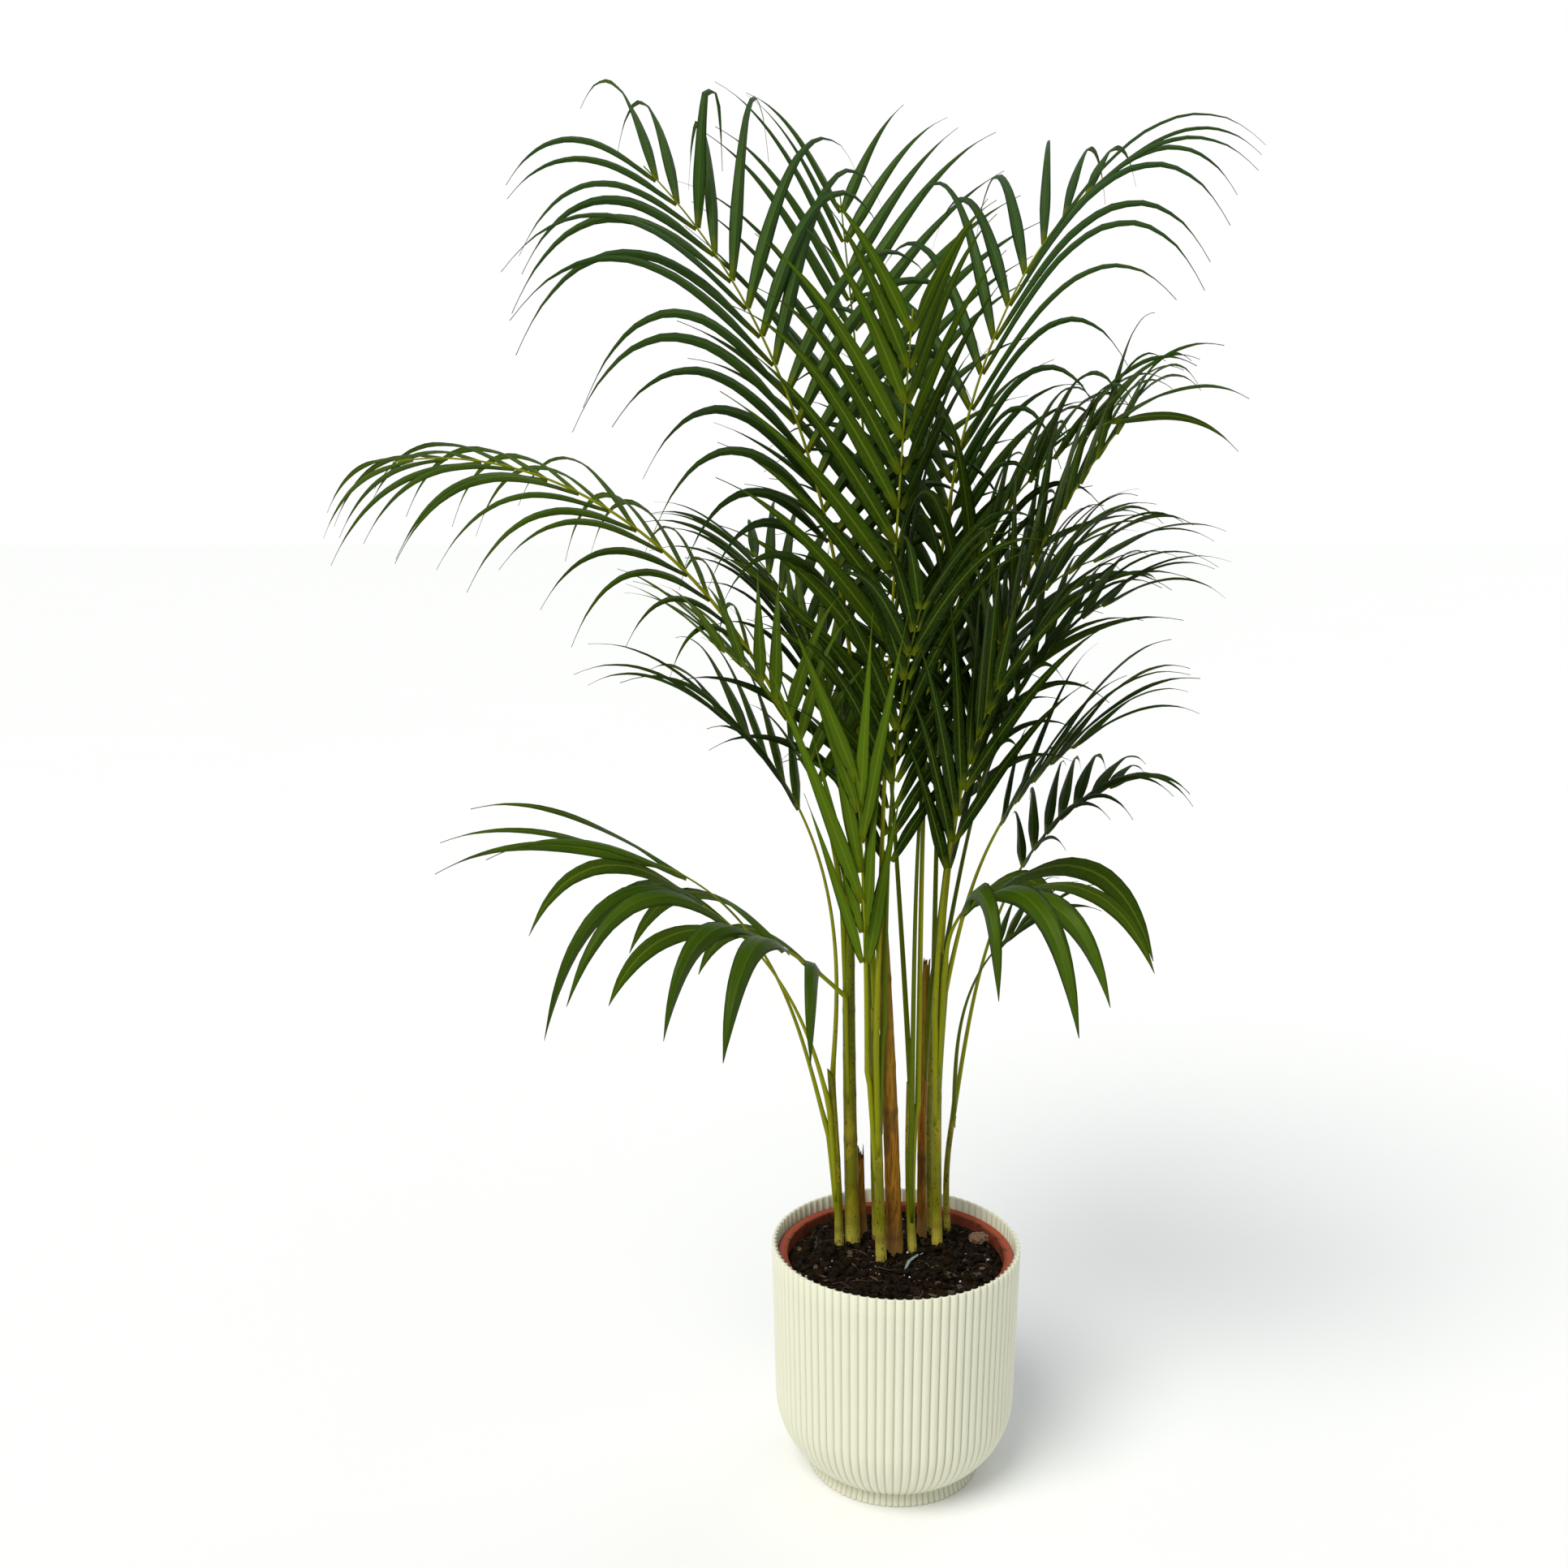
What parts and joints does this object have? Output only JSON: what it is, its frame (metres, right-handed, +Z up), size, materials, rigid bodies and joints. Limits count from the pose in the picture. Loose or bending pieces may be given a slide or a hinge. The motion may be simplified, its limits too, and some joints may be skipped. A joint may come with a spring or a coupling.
{
  "type": "potted palm",
  "caption": "Clump of cane-stemmed arching feather palm fronds growing in a nursery pot that stands inside a round fluted cover pot.",
  "frame": {"origin": "middle of the cover pot's foot, on the surface it stands on", "axes": "+Z up the plant's height; -Y towards the side it is seen from, +X to the right"},
  "size_m": [0.7763, 0.4855, 1.22],
  "materials": {
    "cover_pot": "ivory moulded plastic with fine vertical flutes, satin sheen",
    "nursery_pot": "terracotta-coloured thin moulded plastic, satin",
    "potting_mix": "damp crumbly peat, bark crumbs and white perlite grains, rough",
    "bark": "pale rough broken bark",
    "dry_leaf": "dry faded leaf, matt",
    "green_cane": "smooth waxy yellow-green stem with dark specks",
    "dry_cane": "dry papery brown leaf sheath, matt",
    "leaf": "waxy pleated palm leaf, semi-gloss, yellow-green stalk"
  },
  "bodies": {
    "root": {"outer_pot": "cover_pot", "nursery_pot": "nursery_pot", "soil": "potting_mix", "bark_chunk": "bark", "fallen_leaflet": "dry_leaf", "cane_back_thin": "green_cane", "cane_far_right": "green_cane", "cane_front": "green_cane", "cane_left_dry": "dry_cane", "cane_left_stub": "green_cane", "cane_left_tall": "green_cane", "cane_left_thin": "green_cane", "cane_middle": "green_cane", "cane_middle_dry": "dry_cane", "cane_right_dry": "dry_cane", "cane_right_tall": "green_cane", "frond_back_left": "leaf", "frond_back_right": "leaf", "frond_back_tall": "leaf", "frond_front_dark": "leaf", "frond_front_right_arch": "leaf", "frond_front_tall": "leaf", "frond_front_young": "leaf", "frond_left_back": "leaf", "frond_left_inner": "leaf", "frond_left_low_front": "leaf", "frond_long_left": "leaf", "frond_low_left_lower": "leaf", "frond_low_left_middle": "leaf", "frond_low_left_upper": "leaf", "frond_low_right": "leaf", "frond_low_right_fan": "leaf", "frond_low_right_small": "leaf", "frond_right_front": "leaf", "frond_right_inner": "leaf", "frond_right_middle": "leaf", "frond_right_tall": "leaf", "frond_right_upper": "leaf", "frond_top_left": "leaf", "frond_top_middle": "leaf", "frond_top_right": "leaf"}
  },
  "joints": []
}
